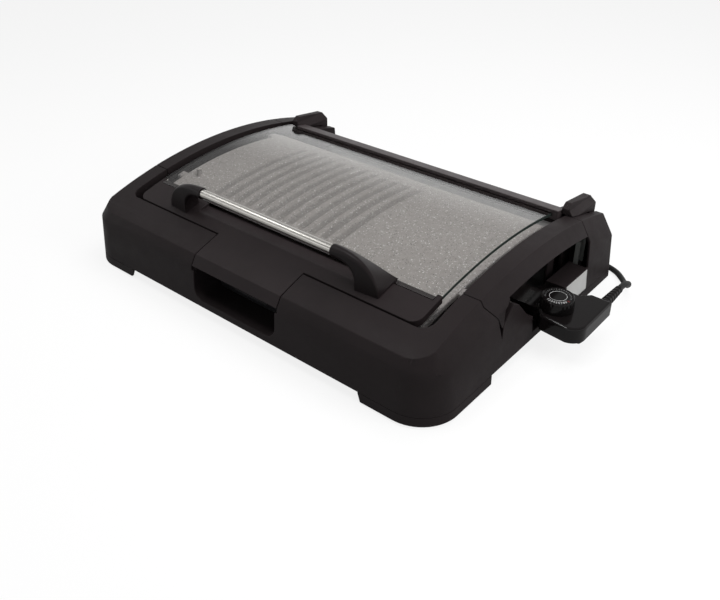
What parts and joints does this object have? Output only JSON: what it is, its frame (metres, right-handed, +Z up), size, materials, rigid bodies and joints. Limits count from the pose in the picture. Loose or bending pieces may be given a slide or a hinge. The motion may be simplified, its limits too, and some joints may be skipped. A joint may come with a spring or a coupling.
{
  "type": "electric indoor grill with lid",
  "caption": "Countertop electric grill with an arched body, hinged glass lid, bar handle, speckled grooved plate, drip drawer and plug-in thermostat with cord.",
  "frame": {"origin": "on the table, under the middle of the bounding box of the grill with its thermostat plugged in, without the cord", "axes": "+Z up, +Y from the handle side to the hinge side, +X towards the plug-in thermostat"},
  "size_m": [0.5988, 0.4908, 0.1284],
  "materials": {
    "body_plastic": "fine moulded grain, satin black",
    "lid_plastic": "fine moulded grain, satin black",
    "black_sheet": "black enamelled sheet",
    "zinc_screw": "zinc-plated",
    "foot_rubber": "matte black rubber",
    "label_foil": "plain silver-white foil",
    "strip_steel": "bare spring steel",
    "pin_steel": "ground steel",
    "reflector_sheet": "bright rolled sheet",
    "granite_coating": "cast plate with speckled grey non-stick coating",
    "heater_steel": "heat-tinted tubular element",
    "contact_nickel": "nickel-plated contact",
    "shroud_steatite": "unglazed steatite",
    "cast_metal": "as-cast aluminium",
    "drawer_enamel": "black enamel",
    "lid_glass": "clear tempered glass",
    "rail_plastic": "satin brown-black",
    "handle_steel": "satin brushed stainless steel",
    "post_plastic": "smooth satin black",
    "gloss_black": "polished black",
    "knob_black": "satin-gloss black",
    "ring_chrome": "polished ring",
    "lamp_red": "translucent red",
    "sleeve_brass": "bare brass",
    "cord_rubber": "matte black cord sheath",
    "black_tie": "plain black strap"
  },
  "bodies": {
    "base": {"base_housing": "body_plastic", "corner_legs": "body_plastic", "side_arch_left": "body_plastic", "side_arch_right": "body_plastic", "floor_pan": "black_sheet", "floor_screws": "zinc_screw", "rubber_feet": "foot_rubber", "rating_plate": "label_foil", "retaining_strip": "strip_steel", "hinge_pins": "pin_steel", "heat_reflector": "reflector_sheet", "drawer_rails": "black_sheet", "grill_plate": "granite_coating", "heating_element": "heater_steel", "terminal_pins": "contact_nickel", "terminal_shroud": "shroud_steatite", "socket_bracket": "strip_steel", "sensor_block": "cast_metal"},
    "drawer": {"drip_drawer": "drawer_enamel"},
    "lid": {"lid_frame": "lid_plastic", "lid_glass": "lid_glass", "rear_rail": "rail_plastic", "hinge_bracket_left": "lid_plastic", "hinge_bracket_right": "lid_plastic", "handle_post_left": "post_plastic", "handle_post_right": "post_plastic", "handle_tube": "handle_steel", "handle_screws": "zinc_screw"},
    "controller": {"controller_base": "gloss_black", "controller_cover": "gloss_black", "controller_screws": "zinc_screw", "contact_sleeves": "sleeve_brass", "temperature_probe": "pin_steel", "indicator_lens": "lamp_red", "strain_relief": "gloss_black", "power_cord": "cord_rubber", "cord_coil": "cord_rubber", "cord_tie": "black_tie", "plug_lead": "cord_rubber", "plug_body": "gloss_black", "plug_pins": "contact_nickel"},
    "knob": {"control_knob": "knob_black", "knob_ring": "ring_chrome", "knob_spindle": "pin_steel"}
  },
  "joints": [
    {"name": "lid_hinge", "type": "hinge", "parent": "base", "child": "lid", "pos_m": [0, 0.179, 0.079], "axis": [-1, 0, 0], "range_deg": [0, 95]},
    {"name": "controller_plug_in", "type": "slide", "parent": "base", "child": "controller", "axis": [1, 0, 0], "range_m": [0, 0.106]},
    {"name": "knob_turn", "type": "hinge", "parent": "controller", "child": "knob", "pos_m": [0.25742, 0.021, 0.05], "axis": [0, 0, 1], "range_deg": [0, 270]},
    {"name": "drawer_slide", "type": "slide", "parent": "base", "child": "drawer", "axis": [0, -1, 0], "range_m": [0, 0.14]}
  ]
}
